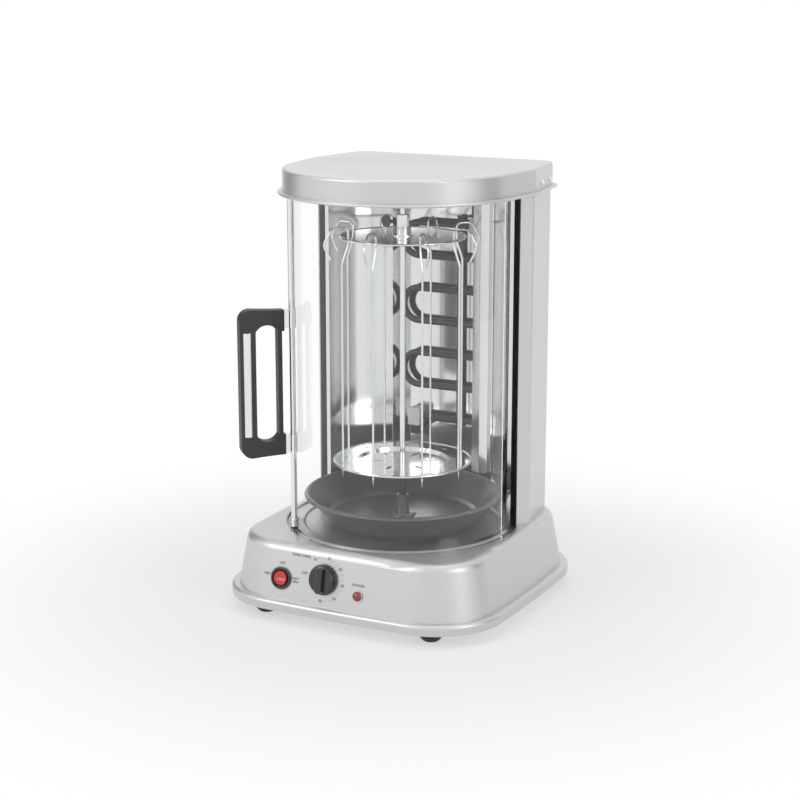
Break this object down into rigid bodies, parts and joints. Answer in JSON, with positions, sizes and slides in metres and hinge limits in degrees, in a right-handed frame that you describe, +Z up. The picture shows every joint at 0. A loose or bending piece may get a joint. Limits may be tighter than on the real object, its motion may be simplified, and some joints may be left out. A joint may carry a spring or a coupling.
{
  "type": "electric skewer grill",
  "caption": "Upright electric skewer grill with a turning skewer rack, sliding curved glass door, rear heater, drip pan and timer base.",
  "frame": {"origin": "on the floor under the middle of the base, on the turning axis of the rack", "axes": "+Z up, -Y towards the controls, +X to the right of the controls"},
  "size_m": [0.316, 0.3178, 0.466],
  "materials": {
    "silver_paint": "satin silver powder coat",
    "galvanised": "plain galvanised sheet",
    "deck_steel": "stamped silver deck",
    "mirror_steel": "polished stainless reflector",
    "pan_coat": "dark non-stick coat",
    "chromed": "bright chrome plate",
    "wire_steel": "drawn bright wire",
    "sleeve_steel": "brushed",
    "dark_steel": "blackened steel",
    "heater_sheath": "heat-darkened sheath",
    "white_ceramic": "matt white",
    "door_glazing": "clear tempered",
    "black_plastic": "fine texture",
    "gloss_black": "gloss",
    "red_plastic": "translucent red",
    "lamp_red": "dark red lens",
    "foot_rubber": "matt",
    "motor_zinc": "zinc plated"
  },
  "bodies": {
    "root": {"base_bottom": "galvanised", "base_shell": "silver_paint", "ceramic_terminals": "white_ceramic", "cord_gland": "black_plastic", "deck_plate": "deck_steel", "door_guide": "sleeve_steel", "drip_pan": "pan_coat", "drive_sleeve": "sleeve_steel", "foot_screws": "galvanised", "gear_motor": "motor_zinc", "guard_strip": "sleeve_steel", "heater_bracket": "dark_steel", "heating_element": "heater_sheath", "lamp_bezel": "dark_steel", "lid_screws": "chromed", "lid_shell": "silver_paint", "motor_bracket": "galvanised", "motor_screws": "galvanised", "pilot_lamp": "lamp_red", "rear_wall": "silver_paint", "reflector_back": "mirror_steel", "reflector_left": "mirror_steel", "reflector_right": "mirror_steel", "rocker_housing": "gloss_black", "rubber_feet": "foot_rubber", "terminal_brackets": "dark_steel", "timer_body": "black_plastic", "top_bearing": "sleeve_steel"},
    "door": {"door_glass": "door_glazing", "door_rod": "chromed", "rod_ferrule": "chromed", "rod_foot": "black_plastic", "handle_arm_upper": "black_plastic", "handle_arm_lower": "black_plastic", "clamp_upper": "chromed", "clamp_lower": "chromed", "handle_screws": "chromed", "handle_grip": "black_plastic", "grip_tube": "chromed", "handle_rail": "black_plastic"},
    "rack": {"drive_spindle": "dark_steel", "spit_shaft": "chromed", "hub_nut": "chromed", "rack_low_disc": "chromed"},
    "top_plate": {"rack_top_disc": "chromed", "rack_collar": "chromed"},
    "clamp_screw": {"thumb_screw": "dark_steel"},
    "timer_dial": {"timer_knob": "gloss_black"},
    "rocker": {"rocker_button": "red_plastic"},
    "skewer_1": {"skewer_1": "wire_steel"},
    "skewer_2": {"skewer_2": "wire_steel"},
    "skewer_3": {"skewer_3": "wire_steel"},
    "skewer_4": {"skewer_4": "wire_steel"},
    "skewer_5": {"skewer_5": "wire_steel"},
    "skewer_6": {"skewer_6": "wire_steel"},
    "skewer_7": {"skewer_7": "wire_steel"},
    "skewer_8": {"skewer_8": "wire_steel"}
  },
  "joints": [
    {"name": "door_swing", "type": "hinge", "parent": "root", "child": "door", "pos_m": [0, 0, 0.2], "axis": [0, 0, 1], "range_deg": [-56, 58]},
    {"name": "rack_spin", "type": "hinge", "parent": "root", "child": "rack", "pos_m": [0, 0, 0.2], "axis": [0, 0, 1], "continuous": true},
    {"name": "top_plate_slide", "type": "slide", "parent": "rack", "child": "top_plate", "axis": [0, 0, 1], "range_m": [-0.04, 0.006]},
    {"name": "clamp_screw_turn", "type": "hinge", "parent": "top_plate", "child": "clamp_screw", "pos_m": [-0.01, 0, 0.4076], "axis": [-1, 0, 0], "range_deg": [0, 360]},
    {"name": "timer_turn", "type": "hinge", "parent": "root", "child": "timer_dial", "pos_m": [-0.017, -0.14474, 0.052], "axis": [0, -0.9833, 0.1822], "range_deg": [-192, 90]},
    {"name": "rocker_tilt", "type": "hinge", "parent": "root", "child": "rocker", "pos_m": [-0.068, -0.13991, 0.04509], "axis": [0, 0.1822, 0.9833], "range_deg": [-10, 10]},
    {"name": "skewer_1_lift", "type": "slide", "parent": "rack", "child": "skewer_1", "axis": [0, 0, 1], "range_m": [0, 0.016]},
    {"name": "skewer_2_lift", "type": "slide", "parent": "rack", "child": "skewer_2", "axis": [0, 0, 1], "range_m": [0, 0.016]},
    {"name": "skewer_3_lift", "type": "slide", "parent": "rack", "child": "skewer_3", "axis": [0, 0, 1], "range_m": [0, 0.016]},
    {"name": "skewer_4_lift", "type": "slide", "parent": "rack", "child": "skewer_4", "axis": [0, 0, 1], "range_m": [0, 0.016]},
    {"name": "skewer_5_lift", "type": "slide", "parent": "rack", "child": "skewer_5", "axis": [0, 0, 1], "range_m": [0, 0.016]},
    {"name": "skewer_6_lift", "type": "slide", "parent": "rack", "child": "skewer_6", "axis": [0, 0, 1], "range_m": [0, 0.016]},
    {"name": "skewer_7_lift", "type": "slide", "parent": "rack", "child": "skewer_7", "axis": [0, 0, 1], "range_m": [0, 0.016]},
    {"name": "skewer_8_lift", "type": "slide", "parent": "rack", "child": "skewer_8", "axis": [0, 0, 1], "range_m": [0, 0.016]}
  ]
}
